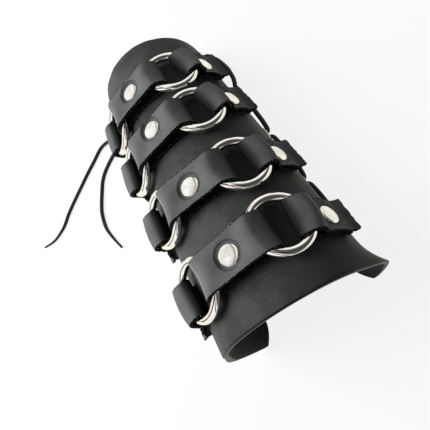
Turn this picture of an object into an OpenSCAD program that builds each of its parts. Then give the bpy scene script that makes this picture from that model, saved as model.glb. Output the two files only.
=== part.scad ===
// Laced leather gauntlet: open conical cuff, four strap and ring rows, lace on the underside.
// Millimetres. The cuff is drawn on its own axis (+Y from elbow to wrist, +Z up) and then
// stood on its two free edges, so the floor is Z = 0 and the box is centred on X = Y = 0.
// Rows are numbered from the wrist (1) to the elbow (4).

/* [Cuff leather] */
// Length from the elbow edge to the wrist edge
cuff_length = 162; // [140:1:200]
// Mean outer radius at the elbow edge
elbow_r = 39.9; // [36:0.1:46]
// Mean outer radius at the wrist edge
wrist_r = 33.4; // [30:0.1:38]
// How much the half height is over, and the half width under, the mean radius
oval = 1.3; // [0:0.1:3]
// Thickness of the cuff leather
panel_t = 2.6; // [2:0.1:3.6]
// Bevel on the cut rims of the cuff
rim_bevel = 0.5; // [0.2:0.1:0.9]
// Depth of the free edges below the axis at the elbow
elbow_drop = 28; // [22:0.5:32]
// Depth of the free edges below the axis at the wrist
wrist_drop = 9.5; // [6:0.5:16]
// How far the two elbow corners flare outward
flare = 5.2; // [0:0.1:7]
// Length over which the corners flare
flare_length = 14; // [8:1:18]
// Gap at the two flex lines between the centre and the sides
flex_gap = 0.4; // [0.3:0.05:0.8]
// Distance from a flex line to the ring centres, along the leather
flex_inset = 7.5; // [6.5:0.1:8.5]

/* [Rows] */
// Place of row 1 along the cuff
row_1_y = 127.8; // [124:0.1:132]
// Place of row 2 along the cuff
row_2_y = 97; // [93:0.1:101]
// Place of row 3 along the cuff
row_3_y = 61; // [57:0.1:65]
// Place of row 4 along the cuff
row_4_y = 26; // [24:0.1:31]
// Turn of row 1 about the cuff axis
row_1_turn = -5; // [-7:0.1:6]
// Turn of row 2 about the cuff axis
row_2_turn = -3.8; // [-7:0.1:6]
// Turn of row 3 about the cuff axis
row_3_turn = 0.5; // [-7:0.1:6]
// Turn of row 4 about the cuff axis
row_4_turn = 1; // [-7:0.1:6]
// Slant of the strap of row 1: positive when its right end leans toward the wrist
row_1_slant = -1.5; // [-4:0.1:4]
// The same for row 2
row_2_slant = 0; // [-4:0.1:4]
// The same for row 3
row_3_slant = -3.2; // [-4:0.1:4]
// The same for row 4
row_4_slant = 2.8; // [-4:0.1:4]
// How far the rivet of row 1 sits off the middle of its strap, toward the wrist
rivet_1_off = 1.8; // [0:0.1:3.4]
// The same for row 2
rivet_2_off = 3.1; // [0:0.1:3.4]

/* [Straps and tabs] */
// Width of the straps
strap_w = 16.8; // [14:0.1:17.4]
// Width of the tabs
tab_w = 16.4; // [14:0.1:17.4]
// Thickness of the strap leather
strap_t = 1.6; // [1.3:0.1:2]
// Thickness that is left where the folds are skived
skived_t = 1.35; // [1.1:0.05:1.5]
// Gap between strap leather and the cuff under it
lay_gap = 0.12; // [0.08:0.01:0.25]
// Distance along the leather from a centre rivet to a ring centre
ring_reach = 21.1; // [21:0.1:24]
// Distance from a ring centre to its tab rivet, row 1
tab_reach_1 = 20; // [20:0.1:24]
// The same for row 2
tab_reach_2 = 20; // [20:0.1:24]
// The same for row 3
tab_reach_3 = 20; // [20:0.1:24]
// The same for row 4
tab_reach_4 = 22; // [20:0.1:24]
// Slant of the tab of row 1, toward the wrist
tab_slant_1 = 10; // [-8:0.5:11]
// Slant of the tab of row 2
tab_slant_2 = 10.5; // [-8:0.5:11]
// Slant of the tab of row 3
tab_slant_3 = 2; // [-8:0.5:11]
// Slant of the tab of row 4
tab_slant_4 = -7.5; // [-8:0.5:11]
// Length of a tab beyond its rivet
tab_tail = 10; // [8:0.5:12]
// How much shorter the under layer of a tab is
tail_step = 1.4; // [0.8:0.1:2.5]
// How far a tab's end stands off the cuff
tail_lift = 2.4; // [0.5:0.1:4]

/* [Rings] */
// Outside diameter of the rings
ring_od = 28; // [26:0.1:28.4]
// Wire diameter of the rings
wire_d = 3.9; // [3.4:0.1:4.1]
// Height of a ring's plane over the cuff, right side
ring_lift = 3.1; // [3:0.1:3.6]
// The same on the left side
left_ring_lift = 3.6; // [3.4:0.1:4.2]
// Tilt that raises the outer side of the left rings
left_ring_tilt = 4; // [0:0.5:6]
// Clearance between the wire and the leather round it
wire_gap = 0.4; // [0.3:0.05:0.5]

/* [Rivets and eyelets] */
// Diameter of the rivet caps
cap_d = 9.2; // [8:0.1:9.4]
// Height of the rivet caps
cap_h = 1.2; // [0.8:0.1:1.8]
// Outside diameter of the caps' shanks
shank_d = 4; // [3.2:0.1:4.6]
// Diameter of the rivet posts
post_d = 2.6; // [2:0.1:2.8]
// Diameter of the caps inside the cuff
back_d = 8; // [6:0.1:9]
// Height of the caps inside the cuff
back_h = 0.9; // [0.6:0.1:1.2]
// Radial clearance of shanks and barrels in the leather
hole_gap = 0.06; // [0.02:0.01:0.2]
// Clear bore of the eyelets
eyelet_bore = 5.8; // [5.7:0.1:6.6]
// Wall of the eyelets
eyelet_t = 0.5; // [0.3:0.05:0.7]
// Outside diameter of the eyelet flanges
flange_d = 9.6; // [8.6:0.1:10.6]
// Distance from an eyelet's centre to the free edge
edge_margin = 8.5; // [7.5:0.1:10]
// Distance from the wrist edge to the first eyelet
eyelet_start = 7; // [6:0.5:12]
// Distance from the elbow edge to the last eyelet, clear of the flared corners
eyelet_end = 23; // [21:0.5:27]

/* [Lace] */
// Diameter of the lace
lace_d = 2.5; // [2:0.1:2.6]
// Half the distance between two passes through one eyelet
pass_gap = 1.45; // [1.4:0.05:1.5]
// Height of the slack bow between the first two right eyelets
bow_1 = 6.7; // [3:0.1:8]
// Height of the bow between the second and the third right eyelet
bow_2 = 3.4; // [3:0.1:6]
// Diameter of the lace tips
tip_d = 1.4; // [1:0.1:2]

/* [Hidden] */
$fn = 64;

// Rows 1 to 4 as lists, so that modules can pick theirs by index
rows = [1, 2, 3, 4];
row_y = [0, row_1_y, row_2_y, row_3_y, row_4_y];
row_turn = [0, row_1_turn, row_2_turn, row_3_turn, row_4_turn];
row_slant = [0, row_1_slant, row_2_slant, row_3_slant, row_4_slant];
rivet_off = [0, rivet_1_off, rivet_2_off, 0, 0];
tab_reach = [0, tab_reach_1, tab_reach_2, tab_reach_3, tab_reach_4];
tab_slant = [0, tab_slant_1, tab_slant_2, tab_slant_3, tab_slant_4];

wire_r = wire_d / 2;
ring_r = ring_od / 2 - wire_r;
slope = atan((elbow_r - wrist_r) / cuff_length);
tilt = atan((elbow_drop - wrist_drop) / cuff_length);
wrist_top = wrist_r + oval;
y_low = -elbow_drop * sin(tilt);
y_high = cuff_length * cos(tilt) + wrist_top * sin(tilt);
y_mid = (y_low + y_high) / 2;
z_axis = elbow_drop * cos(tilt);

// Cuff surface: t is the angle from the top toward the right, h the height over the leather
function mean_r(y) = elbow_r + (wrist_r - elbow_r) * y / cuff_length;
function arc(s, y) = s / mean_r(y) * 180 / PI;
function skin(t, y, h) = [(mean_r(y) - oval + h) * sin(t), (mean_r(y) + oval + h) * cos(t)];
function unit(v) = v / norm(v);
function along(t, y) = unit([(mean_r(y) - oval) * cos(t), -(mean_r(y) + oval) * sin(t)]);
function out(t, y) = unit([(mean_r(y) + oval) * sin(t), (mean_r(y) - oval) * cos(t)]);
function floor_z(y) = -elbow_drop + (elbow_drop - wrist_drop) * y / cuff_length;
function edge_t(y, h) = acos(floor_z(y) / (mean_r(y) + oval + h));
function ramp(x) = let(c = min(1, max(0, x))) c * c * (3 - 2 * c);
function flare_y(y) = flare * pow(max(0, 1 - y / flare_length), 2);
function flare_at(t, y) = ramp((t - 66) / 32) * flare_y(y);
function mix(a, b, u) = a + (b - a) * u;

// Ring places and flex lines, side +1 right and -1 left
function lift(side) = side > 0 ? ring_lift : left_ring_lift;
function lean(side) = side > 0 ? 0 : left_ring_tilt;
function ring_t(side, i) = row_turn[i] + side * arc(ring_reach * cos(row_slant[i]), row_y[i]);
function ring_y(side, i) = row_y[i] + side * ring_reach * sin(row_slant[i]);
function flex_row(side, i) = ring_t(side, i) - side * arc(flex_inset, row_y[i]);
function flex_t(side, y) =
    mix(flex_row(side, 4), flex_row(side, 1), (y - row_4_y) / (row_1_y - row_4_y));

module in_place()
    translate([0, -y_mid, z_axis])
        rotate([-tilt, 0, 0])
            children();

module on_skin(t, y) {
    p = skin(t, y, 0);
    n = out(t, y);
    translate([p.x, y, p.y])
        rotate([0, atan2(n.x, n.y), 0])
            rotate([-slope, 0, 0])
                children();
}

module at_ring(side, i)
    on_skin(ring_t(side, i), ring_y(side, i))
        translate([0, 0, lift(side)])
            rotate([0, -side * lean(side), 0])
                children();

// Rivet places
function tab_rivet_t(side, i) =
    ring_t(side, i) + side * arc(tab_reach[i] * cos(tab_slant[i]), ring_y(side, i));
function tab_rivet_y(side, i) = ring_y(side, i) + tab_reach[i] * sin(tab_slant[i]);

module at_centre_rivet(i)
    on_skin(row_turn[i], row_y[i] + rivet_off[i])
        children();

module at_tab_rivet(side, i)
    on_skin(tab_rivet_t(side, i), tab_rivet_y(side, i))
        children();

stack = lay_gap + 2 * strap_t;

module rivet_hole()
    translate([0, 0, -panel_t - 6])
        cylinder(h = panel_t + stack + 12, r = shank_d / 2 + hole_gap);

// Slab between two grids of points with the same rows and columns
module slab(top, under) {
    nr = len(top);
    nc = len(top[0]);
    pts = concat([for (r = top) for (p = r) p], [for (r = under) for (p = r) p]);
    m = nr * nc;
    function id(l, r, c) = l * m + r * nc + c;
    face_top = [for (r = [0 : nr - 2]) for (c = [0 : nc - 2]) each
        [[id(0, r, c), id(0, r + 1, c), id(0, r + 1, c + 1)],
         [id(0, r, c), id(0, r + 1, c + 1), id(0, r, c + 1)]]];
    face_under = [for (r = [0 : nr - 2]) for (c = [0 : nc - 2]) each
        [[id(1, r, c), id(1, r + 1, c + 1), id(1, r + 1, c)],
         [id(1, r, c), id(1, r, c + 1), id(1, r + 1, c + 1)]]];
    ends = [for (c = [0 : nc - 2]) each
        [[id(0, 0, c), id(0, 0, c + 1), id(1, 0, c + 1)],
         [id(0, 0, c), id(1, 0, c + 1), id(1, 0, c)],
         [id(0, nr - 1, c), id(1, nr - 1, c + 1), id(0, nr - 1, c + 1)],
         [id(0, nr - 1, c), id(1, nr - 1, c), id(1, nr - 1, c + 1)]]];
    sides = [for (r = [0 : nr - 2]) each
        [[id(0, r, 0), id(1, r + 1, 0), id(0, r + 1, 0)],
         [id(0, r, 0), id(1, r, 0), id(1, r + 1, 0)],
         [id(0, r, nc - 1), id(0, r + 1, nc - 1), id(1, r + 1, nc - 1)],
         [id(0, r, nc - 1), id(1, r + 1, nc - 1), id(1, r, nc - 1)]]];
    polyhedron(pts, concat(face_top, face_under, ends, sides));
}

// Stations along the cuff, close together where the corners flare
stations = concat([0, rim_bevel], [for (k = [1 : 5]) mix(rim_bevel, flare_length, k / 5)],
    [for (k = [1 : 7]) mix(flare_length, cuff_length - rim_bevel, k / 7)], [cuff_length]);
function bevel_at(y) = (y == 0 || y == cuff_length) ? rim_bevel : 0;

side_steps = 22;
function side_point(side, y, u, h) =
    let(t0 = side * flex_t(side, y) + arc(flex_gap / 2, y), t1 = edge_t(y, h + flare_y(y)))
    let(t = mix(t0, t1, u), p = skin(t, y, h + flare_at(t, y)))
    [side * p.x, y, p.y];
function side_grid(side, inner) = [for (y = stations) [for (k = [0 : side_steps])
    side_point(side, y, k / side_steps, inner ? bevel_at(y) - panel_t : -bevel_at(y))]];

centre_steps = 12;
function centre_point(y, u, h) =
    let(t0 = flex_t(-1, y) + arc(flex_gap / 2, y), t1 = flex_t(1, y) - arc(flex_gap / 2, y))
    let(p = skin(mix(t0, t1, u), y, h))
    [p.x, y, p.y];
function centre_grid(inner) = [for (y = stations) [for (k = [0 : centre_steps])
    centre_point(y, k / centre_steps, inner ? bevel_at(y) - panel_t : -bevel_at(y))]];

module cuff_centre()
    color([0.09, 0.09, 0.1])
        difference() {
            slab(centre_grid(false), centre_grid(true));
            for (i = rows)
                at_centre_rivet(i)
                    rivet_hole();
        }

module cuff_side(side)
    color([0.09, 0.09, 0.1])
        difference() {
            if (side > 0)
                slab(side_grid(side, false), side_grid(side, true));
            else
                slab(side_grid(side, true), side_grid(side, false));
            for (i = rows)
                at_tab_rivet(side, i)
                    rivet_hole();
            for (j = levels)
                at_eyelet(side, j)
                    translate([0, 0, -panel_t - 3])
                        cylinder(h = panel_t + 6, r = eyelet_bore / 2 + eyelet_t + hole_gap);
        }

// A point on a leather band: s along it and w across it from the middle of its row or ring,
// a the band's slant, h the height over the cuff. Both sides count s away from the middle.
function slew(side, s, w, a) = [side * (s * cos(a) - w * sin(a)), s * sin(a) + w * cos(a)];
function on_band(side, t, y, s, w, a, h) =
    let(d = slew(side, s, w, a), p = skin(t + arc(d.x, y), y + d.y, h)) [p.x, y + d.y, p.y];

// A point off the plane that touches the cuff at t, y: x and v along it, z out of it,
// the plane raised by up and turned by k about the cuff's length
function off_plane(t, y, x, v, z, k = 0, up = 0) =
    let(p = skin(t, y, 0), n = out(t, y), x0 = [n.y, 0, -n.x],
        y0 = [-sin(slope) * n.x, cos(slope), -sin(slope) * n.y],
        z0 = [cos(slope) * n.x, sin(slope), cos(slope) * n.y])
    [p.x, y, p.y] + up * z0 + x * (x0 * cos(k) - z0 * sin(k)) + v * y0 + z * (x0 * sin(k) + z0 * cos(k));

// A point of a band over its ring's plane, q away from the ring's centre
function by_ring(side, i, q, w, a, z) = let(d = slew(side, q, w, a))
    off_plane(ring_t(side, i), ring_y(side, i), d.x, d.y, z, -side * lean(side), lift(side));

// Fold round a ring. Its nose just clears the wire at the band's cut edges, and its crest
// follows the wire. An outer and an inner list run side by side from the low layer upward.
bore_r = wire_r + wire_gap;
fold_top = bore_r + strap_t;
fold_low = bore_r + skived_t - 0.25;
fold_r = (fold_top + fold_low) / 2;
fold_z = (fold_top - fold_low) / 2;
function fold_x(w) = sqrt(pow(ring_r - wire_r, 2) - w * w / 4) - wire_gap + 0.05 + bore_r;
function crest_x(w) = sqrt(ring_r * ring_r - w * w) + 0.25;
function fold(side, i, sg, w, a, wide, outer) =
    let(r = outer ? fold_r : bore_r, zc = outer ? fold_z : 0, fx = fold_x(wide),
        top_x = outer ? crest_x(w) : min(10.6, crest_x(w)))
    concat([for (k = [-4 : 0]) by_ring(side, i, sg * (fx - r * cos(22.5 * k)), w, a, zc + r * sin(22.5 * k))],
        [for (k = [1 : 5]) by_ring(side, i, sg * (top_x - (top_x - fx + r) * cos(18 * k)), w, a,
            zc + r * sin(18 * k))]);
function bez(a, b, c, d, u) = let(v = 1 - u)
    v * v * v * a + 3 * v * v * u * b + 3 * v * u * u * c + u * u * u * d;
function fall(side, i, sg, w, a, k1, p0, p1, z) =
    [for (k = [1 : 8]) bez(by_ring(side, i, sg * crest_x(w), w, a, z),
        by_ring(side, i, sg * (crest_x(w) + k1), w, a, z), p1, p0, k / 8)];
function rev(l) = [for (k = [len(l) - 1 : -1 : 0]) l[k]];
across = [-1, -0.5, 0, 0.5, 1] / 2;
function grid(cols) = [for (r = [0 : len(cols[0]) - 1]) [for (c = cols) c[r]]];

pinch = cap_d / 2 + 0.25;
function seat(y) = (mean_r(y) + stack) * cos(arc(pinch, y)) - mean_r(y);
function sag(x, y) = mean_r(y) - panel_t - sqrt(pow(mean_r(y) - panel_t, 2) - x * x);

// Centre strap: folded round both rings, its ends meeting under the rivet
strap_low = ring_reach - flex_inset - 1.6;
function strap_seat(side, i, s, w) = let(d = slew(side, s, w, side * row_slant[i]))
    off_plane(row_turn[i], row_y[i], d.x, d.y, seat(row_y[i] + rivet_off[i]) - 0.01);
function strap_half(side, i, w, outer) =
    let(a = side * row_slant[i], h = outer ? stack : lay_gap + strap_t + 0.02)
    let(on = function(s, h) on_band(side, row_turn[i], row_y[i], s, w, a, h),
        seated = function(s) outer ? strap_seat(side, i, s, w) : on(s, h))
    concat([for (k = [0 : 3]) on(mix(0.3, strap_low, k / 3), outer ? lay_gap : lay_gap + strap_t - 0.03)],
        fold(side, i, -1, w, a, strap_w, outer),
        fall(side, i, -1, w, a, outer ? 5.6 : 4.2, seated(pinch), on(pinch + (outer ? 1.8 : 2.2), h),
            outer ? fold_top : bore_r),
        [seated(pinch / 2)]);
function strap_grid(i, outer) = grid([for (c = across) let(w = c * strap_w) concat(
    strap_half(1, i, w, outer),
    [outer ? strap_seat(1, i, 0, w)
        : on_band(1, row_turn[i], row_y[i], 0, w, row_slant[i], lay_gap + strap_t + 0.02)],
    rev(strap_half(-1, i, w, outer)))]);

module centre_strap(i)
    color([0.13, 0.13, 0.14])
        difference() {
            slab(strap_grid(i, true), strap_grid(i, false));
            at_centre_rivet(i)
                rivet_hole();
        }

// Tab: one fold, the rivet, and a tail whose layers part
function tab_seat(side, i, s, w) = let(d = slew(side, s, w, tab_slant[i]), y = tab_rivet_y(side, i))
    off_plane(tab_rivet_t(side, i), y, d.x, d.y, seat(y) - 0.01);
function tab_column(side, i, w, outer) =
    let(a = tab_slant[i], r = tab_reach[i], h = outer ? stack : lay_gap + strap_t + 0.02)
    let(on = function(s, h) on_band(side, ring_t(side, i), ring_y(side, i), s, w, a, h),
        rise = function(s) tail_lift * pow(max(0, s - r - pinch) / (tab_tail - pinch), 2),
        part = function(s) 0.5 * pow(max(0, s - r - pinch) / (tab_tail - pinch), 2))
    concat([for (k = [0 : 3]) let(s = mix(r + tab_tail - tail_step, r + pinch, k / 3))
            on(s, (outer ? lay_gap : lay_gap + strap_t - 0.03) + rise(s))],
        [for (k = [1 : 4]) on(mix(r + pinch, 11, k / 4), outer ? lay_gap : lay_gap + strap_t - 0.03)],
        fold(side, i, 1, w, a, tab_w, outer),
        fall(side, i, 1, w, a, outer ? 5 : 3.4, outer ? tab_seat(side, i, -pinch, w) : on(r - pinch, h),
            on(r - pinch - (outer ? 0.9 : 1.2), h), outer ? fold_top : bore_r),
        [for (s = [-0.5, 0, 0.5, 1] * pinch) outer ? tab_seat(side, i, s, w) : on(r + s, h)],
        [for (k = [1 : 5]) let(s = mix(r + pinch, r + tab_tail, k / 5)) on(s, h + rise(s) + part(s))]);
function tab_grid(side, i, outer) = grid([for (c = across) tab_column(side, i, c * tab_w, outer)]);

module tab(side, i)
    color([0.13, 0.13, 0.14])
        difference() {
            if (side > 0)
                slab(tab_grid(side, i, false), tab_grid(side, i, true));
            else
                slab(tab_grid(side, i, true), tab_grid(side, i, false));
            at_tab_rivet(side, i)
                rivet_hole();
        }

module ring(side, i)
    color([0.8, 0.8, 0.82])
        at_ring(side, i)
            rotate_extrude()
                translate([ring_r, 0])
                    circle(wire_r, $fn = 32);

module rivet_cap(y)
    color([0.75, 0.75, 0.77])
        translate([0, 0, seat(y)])
            difference() {
                rotate_extrude()
                    union() {
                        polygon([[0, 0.05], [cap_d / 2 - 1.4, 0.05], [cap_d / 2 - 0.2, 0.3], [cap_d / 2, 0.5], [cap_d / 2 - 0.3, 0.8],
                            [cap_d / 2 - 1.1, cap_h - 0.15], [cap_d / 4, cap_h - 0.02], [0, cap_h]]);
                        translate([0, -stack - 0.6])
                            square([shank_d / 2, stack + 0.7]);
                    }
                translate([0, 0, -stack - 1])
                    cylinder(h = stack + 0.9, r = post_d / 2 + 0.02);
            }

module rivet_post(y)
    color([0.7, 0.7, 0.72]) {
        translate([0, 0, -panel_t - sag(back_d / 2, y) - 0.03 - back_h])
            cylinder(h = back_h, d1 = back_d - 0.8, d2 = back_d);
        translate([0, 0, -panel_t - sag(back_d / 2, y) - 0.1])
            cylinder(h = panel_t + seat(y) - 0.2, r = post_d / 2);
    }

// Eyelets, numbered from the wrist
levels = [1, 2, 3, 4, 5];
function level_y(j) = mix(cuff_length - eyelet_start, eyelet_end, (j - 1) / (len(levels) - 1));
function level_t(j) = edge_t(level_y(j), 0) - arc(edge_margin, level_y(j));

module at_eyelet(side, j)
    on_skin(side * level_t(j), level_y(j))
        children();

function turned(y) = sag(flange_d / 2 - 0.4, y) + 0.03;
module eyelet(y)
    color([0.62, 0.62, 0.64])
        rotate_extrude()
            union() {
                translate([eyelet_bore / 2, -panel_t - turned(y) - 0.05])
                    square([eyelet_t, panel_t + turned(y) + 0.15]);
                translate([eyelet_bore / 2, 0.05])
                    square([flange_d / 2 - eyelet_bore / 2, eyelet_t]);
                translate([eyelet_bore / 2, -panel_t - turned(y) - eyelet_t])
                    square([flange_d / 2 - eyelet_bore / 2 - 0.4, eyelet_t]);
            }

// Lace: a point at height h over eyelet j, pass k, and the tube along a point list
function lace_at(side, j, k, h) =
    let(y = level_y(j), t = level_t(j), c = skin(t, y, 0), n = out(t, y))
    [side * (c.x + n.x * (h * cos(slope) - k * pass_gap * sin(slope))),
     y + h * sin(slope) + k * pass_gap * cos(slope),
     c.y + n.y * (h * cos(slope) - k * pass_gap * sin(slope))];
function edge_at(side, y, h) =
    let(p = skin(edge_t(y, 0) - arc(edge_margin, y), y, h)) [side * p.x, y, p.y];
over = 0.6 + eyelet_t + lace_d / 2;
under = -panel_t - 0.9 - eyelet_t - lace_d / 2;
function rung(s0, j, k0, k1, sag) = let(a = lace_at(s0, j, k0, under), b = lace_at(-s0, j, k1, under))
    [lace_at(s0, j, k0, over), a, mix(a, b, 0.16) - [0, 0, sag], mix(a, b, 0.5) - [0, 0, sag * 1.1],
     mix(a, b, 0.84) - [0, 0, sag], b, lace_at(-s0, j, k1, over)];
function bow(side, j0, j1, h) =
    [for (u = [0.25, 0.5, 0.75]) edge_at(side, mix(level_y(j0), level_y(j1), u), u == 0.5 ? h : mix(over, h, 0.75))];
flat_sag = 0.4;
deep_sag = 4.4;
hitch_r = lace_d + 0.3;
function hitch(a, h) = let(c = lace_at(-1, 1, 0, h), n = out(level_t(1), level_y(1)))
    c + hitch_r * (cos(a) * [0, 1, 0] + sin(a) * [-n.y, 0, -n.x]);

lace_path = concat(
    [lace_at(-1, 1, 0, over + lace_d * 2.1)],
    rung(-1, 1, 0, 0, flat_sag), bow(1, 1, 2, bow_1),
    rung(1, 2, 1, -1, flat_sag), bow(-1, 2, 3, bow_2),
    rung(-1, 3, 1, -1, deep_sag), bow(1, 3, 4, bow_2),
    rung(1, 4, 1, -1, flat_sag), bow(-1, 4, 5, bow_2),
    rung(-1, 5, 0, 0, flat_sag), bow(1, 5, 4, bow_2),
    rung(1, 4, -1, 1, deep_sag), bow(-1, 4, 3, bow_2),
    rung(-1, 3, -1, 1, flat_sag), bow(1, 3, 2, bow_2),
    rung(1, 2, -1, 1, deep_sag), bow(-1, 2, 1, bow_2),
    [for (k = [0 : 10]) hitch(-180 - 45 * k, mix(over, over + (lace_d + 0.25) * 1.25, k / 10))]);

function rounded(p, cut, n) = concat([p[0]],
    [for (k = [1 : len(p) - 2]) let(a = p[k - 1] - p[k], b = p[k + 1] - p[k],
        ca = min(cut, 0.46 * norm(a)), cb = min(cut, 0.46 * norm(b)),
        q0 = p[k] + unit(a) * ca, q1 = p[k] + unit(b) * cb)
        each [for (m = [0 : n]) let(u = m / n, v = 1 - u) v * v * q0 + 2 * u * v * p[k] + u * u * q1]],
    [p[len(p) - 1]]);
function curved(p, n) = concat([for (k = [0 : len(p) - 2]) let(a = p[max(0, k - 1)], b = p[k],
    c = p[k + 1], d = p[min(len(p) - 1, k + 2)])
    each [for (m = [0 : n - 1]) let(u = m / n)
        0.5 * (2 * b + (c - a) * u + (2 * a - 5 * b + 4 * c - d) * u * u
            + (3 * b - a - 3 * c + d) * u * u * u)]], [p[len(p) - 1]]);
function heading(p, k) = unit(p[min(len(p) - 1, k + 1)] - p[max(0, k - 1)]);
function carry(v, d) = unit(v - (v * d) * d);
function frames(p, k, v) = k == len(p) ? [] :
    let(w = carry(v, heading(p, k))) concat([w], frames(p, k + 1, w));

module tube(p, radii) {
    n = 8;
    w = frames(p, 0, [0.31, 0.22, 0.93]);
    pts = [for (k = [0 : len(p) - 1]) let(d = heading(p, k), b = cross(d, w[k]))
        each [for (m = [0 : n - 1]) p[k] + radii[k] * (cos(m * 360 / n) * w[k] + sin(m * 360 / n) * b)]];
    last = (len(p) - 1) * n;
    walls = [for (k = [0 : len(p) - 2]) for (m = [0 : n - 1])
        let(a = k * n + m, b = k * n + (m + 1) % n) each
        [[a, a + n, b], [b, a + n, b + n]]];
    polyhedron(pts, concat([[for (m = [0 : n - 1]) m]], walls, [[for (m = [n - 1 : -1 : 0]) last + m]]));
}

module lacing() {
    p = rounded(lace_path, 2.4, 2);
    color([0.05, 0.05, 0.05])
        tube(p, [for (q = p) lace_d / 2]);
}

// Loose ends: route points on the floor in the part's own frame, chosen by eye
to_floor = [[1, 0, 0], [0, cos(tilt), sin(tilt)], [0, -sin(tilt), cos(tilt)]];
function placed(p) = to_floor * p + [0, -y_mid, z_axis];
function leave(p, q) = [placed(p), placed(p + 2.4 * unit(p - q))];
path_end = len(lace_path) - 1;
lie = lace_d / 2 + 0.05;
end_a_route = concat(leave(lace_path[0], lace_path[1]),
    [[-44.5, 76.5, 6.5], [-48, 81.5, 3.6], [-53, 85, lie + 0.3], [-62, 86, lie], [-72, 82, lie], [-82, 78, lie],
     [-92, 73.5, lie], [-102, 69, lie], [-111, 64.5, lie], [-120, 59, lie], [-132, 56, lie], [-143, 57.5, lie]]);
end_b_route = concat(leave(lace_path[path_end], lace_path[path_end - 1]),
    [[-42, 77.4, 3.2], [-47, 76.5, lie + 0.3], [-54, 75, lie], [-66, 70, lie], [-73, 65, lie], [-78, 58.5, lie],
     [-83, 51, lie], [-86, 45, lie], [-88, 35, lie], [-86.5, 25, lie], [-84, 16, lie]]);
function taper(n) = [for (k = [0 : n - 1]) mix(lace_d, tip_d, max(0, (k - n + 8) / 7)) / 2];

module lace_end(route) {
    p = curved(route, 3);
    color([0.05, 0.05, 0.05])
        tube(p, taper(len(p)));
}

module cuff_right_side() cuff_side(1);
module cuff_left_side() cuff_side(-1);

in_place() cuff_centre();
in_place() cuff_right_side();
in_place() cuff_left_side();
in_place() centre_strap(1);  // centre_strap_1
in_place() centre_strap(2);  // centre_strap_2
in_place() centre_strap(3);  // centre_strap_3
in_place() centre_strap(4);  // centre_strap_4
in_place() tab(1, 1);  // right_tab_1
in_place() tab(1, 2);  // right_tab_2
in_place() tab(1, 3);  // right_tab_3
in_place() tab(1, 4);  // right_tab_4
in_place() tab(-1, 1);  // left_tab_1
in_place() tab(-1, 2);  // left_tab_2
in_place() tab(-1, 3);  // left_tab_3
in_place() tab(-1, 4);  // left_tab_4
in_place() ring(1, 1);  // right_ring_1
in_place() ring(1, 2);  // right_ring_2
in_place() ring(1, 3);  // right_ring_3
in_place() ring(1, 4);  // right_ring_4
in_place() ring(-1, 1);  // left_ring_1
in_place() ring(-1, 2);  // left_ring_2
in_place() ring(-1, 3);  // left_ring_3
in_place() ring(-1, 4);  // left_ring_4
in_place() for (i = rows) at_centre_rivet(i) rivet_cap(row_y[i] + rivet_off[i]);  // centre_rivet_caps
in_place() for (i = rows) at_centre_rivet(i) rivet_post(row_y[i] + rivet_off[i]);  // centre_rivet_posts
in_place() for (i = rows) at_tab_rivet(1, i) rivet_cap(tab_rivet_y(1, i));  // right_rivet_caps
in_place() for (i = rows) at_tab_rivet(1, i) rivet_post(tab_rivet_y(1, i));  // right_rivet_posts
in_place() for (i = rows) at_tab_rivet(-1, i) rivet_cap(tab_rivet_y(-1, i));  // left_rivet_caps
in_place() for (i = rows) at_tab_rivet(-1, i) rivet_post(tab_rivet_y(-1, i));  // left_rivet_posts
in_place() for (j = levels) at_eyelet(1, j) eyelet(level_y(j));  // right_eyelets
in_place() for (j = levels) at_eyelet(-1, j) eyelet(level_y(j));  // left_eyelets
in_place() lacing();
lace_end(end_a_route);  // lace_end_a
lace_end(end_b_route);  // lace_end_b
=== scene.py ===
import bpy
import bmesh
from math import sin, cos, acos, atan, atan2, radians, pi, sqrt, exp
from mathutils import Vector, Matrix, noise


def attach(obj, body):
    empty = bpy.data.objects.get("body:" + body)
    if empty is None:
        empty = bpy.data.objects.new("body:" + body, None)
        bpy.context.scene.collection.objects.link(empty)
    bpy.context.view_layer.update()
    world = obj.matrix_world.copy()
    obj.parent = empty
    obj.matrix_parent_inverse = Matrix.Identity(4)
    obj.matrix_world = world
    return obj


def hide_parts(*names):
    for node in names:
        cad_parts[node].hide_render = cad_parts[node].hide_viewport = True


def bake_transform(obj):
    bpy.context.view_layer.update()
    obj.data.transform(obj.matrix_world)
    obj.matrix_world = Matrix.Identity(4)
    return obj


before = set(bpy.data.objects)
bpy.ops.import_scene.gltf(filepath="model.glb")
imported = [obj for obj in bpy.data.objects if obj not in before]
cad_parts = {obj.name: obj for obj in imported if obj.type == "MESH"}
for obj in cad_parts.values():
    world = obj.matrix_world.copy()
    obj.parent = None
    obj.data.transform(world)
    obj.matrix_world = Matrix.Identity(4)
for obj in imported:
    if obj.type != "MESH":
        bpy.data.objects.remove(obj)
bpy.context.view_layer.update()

# Camera: close over the elbow end of the cuff, a little to its right, looking along it
# toward the wrist, with the wide view of a small camera held about 20 cm above it.
camera_data = bpy.data.cameras.new("photo_camera")
camera_data.sensor_width = 36.0
camera_data.lens = 31.51
camera_data.clip_start = 0.01
photo_camera = bpy.data.objects.new("photo_camera", camera_data)
camera_place = Vector((0.04677, -0.08347, 0.19767))
camera_right = Vector((0.7422, -0.5062, -0.4393))
camera_down = Vector((-0.6029, -0.7905, -0.1077))
camera_ahead = Vector((-0.2928, 0.3448, -0.8919))
photo_camera.matrix_world = Matrix.Translation(camera_place) @ Matrix(
    (camera_right, -camera_down, -camera_ahead)).transposed().to_4x4()
bpy.context.scene.collection.objects.link(photo_camera)
bpy.context.scene.camera = photo_camera
bpy.context.scene.view_settings.view_transform = "Standard"


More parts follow.
